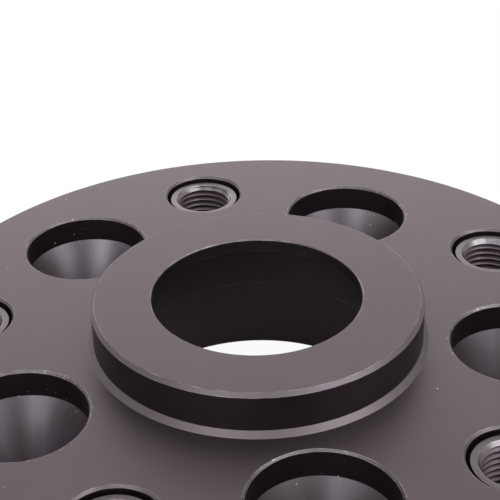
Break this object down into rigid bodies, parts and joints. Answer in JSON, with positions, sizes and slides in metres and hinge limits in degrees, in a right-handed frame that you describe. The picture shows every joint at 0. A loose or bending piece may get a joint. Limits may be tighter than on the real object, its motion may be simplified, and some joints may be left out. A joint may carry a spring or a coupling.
{
  "type": "wheel spacer",
  "caption": "Round aluminium wheel spacer that changes the bolt circle, with a raised wheel spigot, conical-seat bolt pockets and threaded steel inserts.",
  "frame": {"origin": "centre of the rear (hub) face, on the spacer's axis", "axes": "+Z along the axis, from the hub face to the wheel spigot; +Y through the first insert"},
  "size_m": [0.1664, 0.1664, 0.0358],
  "materials": {
    "anodised_aluminium": "dark brown-grey hard-anodised, satin, fine turning marks",
    "insert_steel": "turned steel, dulled, with bright thread crests"
  },
  "bodies": {
    "root": {"spacer_body": "anodised_aluminium", "threaded_insert_1": "insert_steel", "threaded_insert_2": "insert_steel", "threaded_insert_3": "insert_steel", "threaded_insert_4": "insert_steel", "threaded_insert_5": "insert_steel"}
  },
  "joints": []
}
